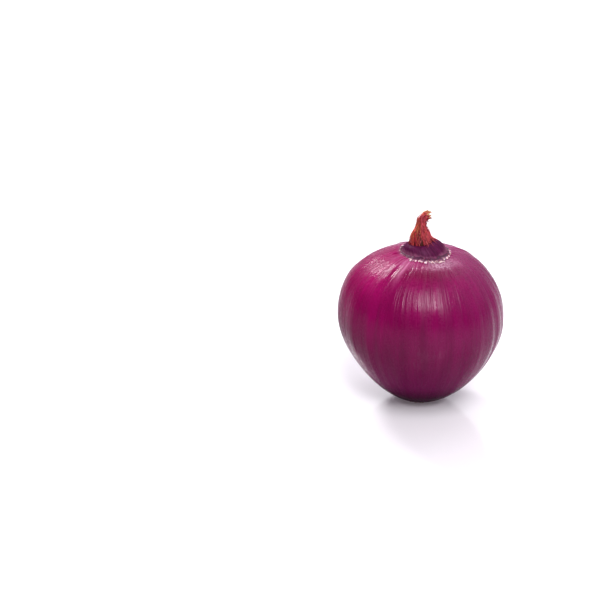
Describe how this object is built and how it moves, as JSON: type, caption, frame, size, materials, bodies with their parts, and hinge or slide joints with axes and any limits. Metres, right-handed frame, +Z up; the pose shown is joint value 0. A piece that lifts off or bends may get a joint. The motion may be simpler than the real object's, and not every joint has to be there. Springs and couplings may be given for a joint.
{
  "type": "red onion",
  "caption": "Whole purple onion bulb standing on its trimmed root plate, with a violet collar and a short withered neck bent over at the top.",
  "frame": {"origin": "centre of the flat spot under the root plate, on the surface that the onion stands on", "axes": "+Z up along the bulb, from the root plate to the neck; +X towards the side that the neck bends over to"},
  "size_m": [0.0723, 0.072, 0.0878],
  "materials": {
    "bulb_skin": "waxy satin skin of a peeled red onion",
    "dry_sheath": "dry, papery and fluted",
    "dry_root": "dry, corky and matt"
  },
  "bodies": {
    "root": {"bulb": "bulb_skin", "dried_neck": "dry_sheath", "root_plate": "dry_root"}
  },
  "joints": []
}
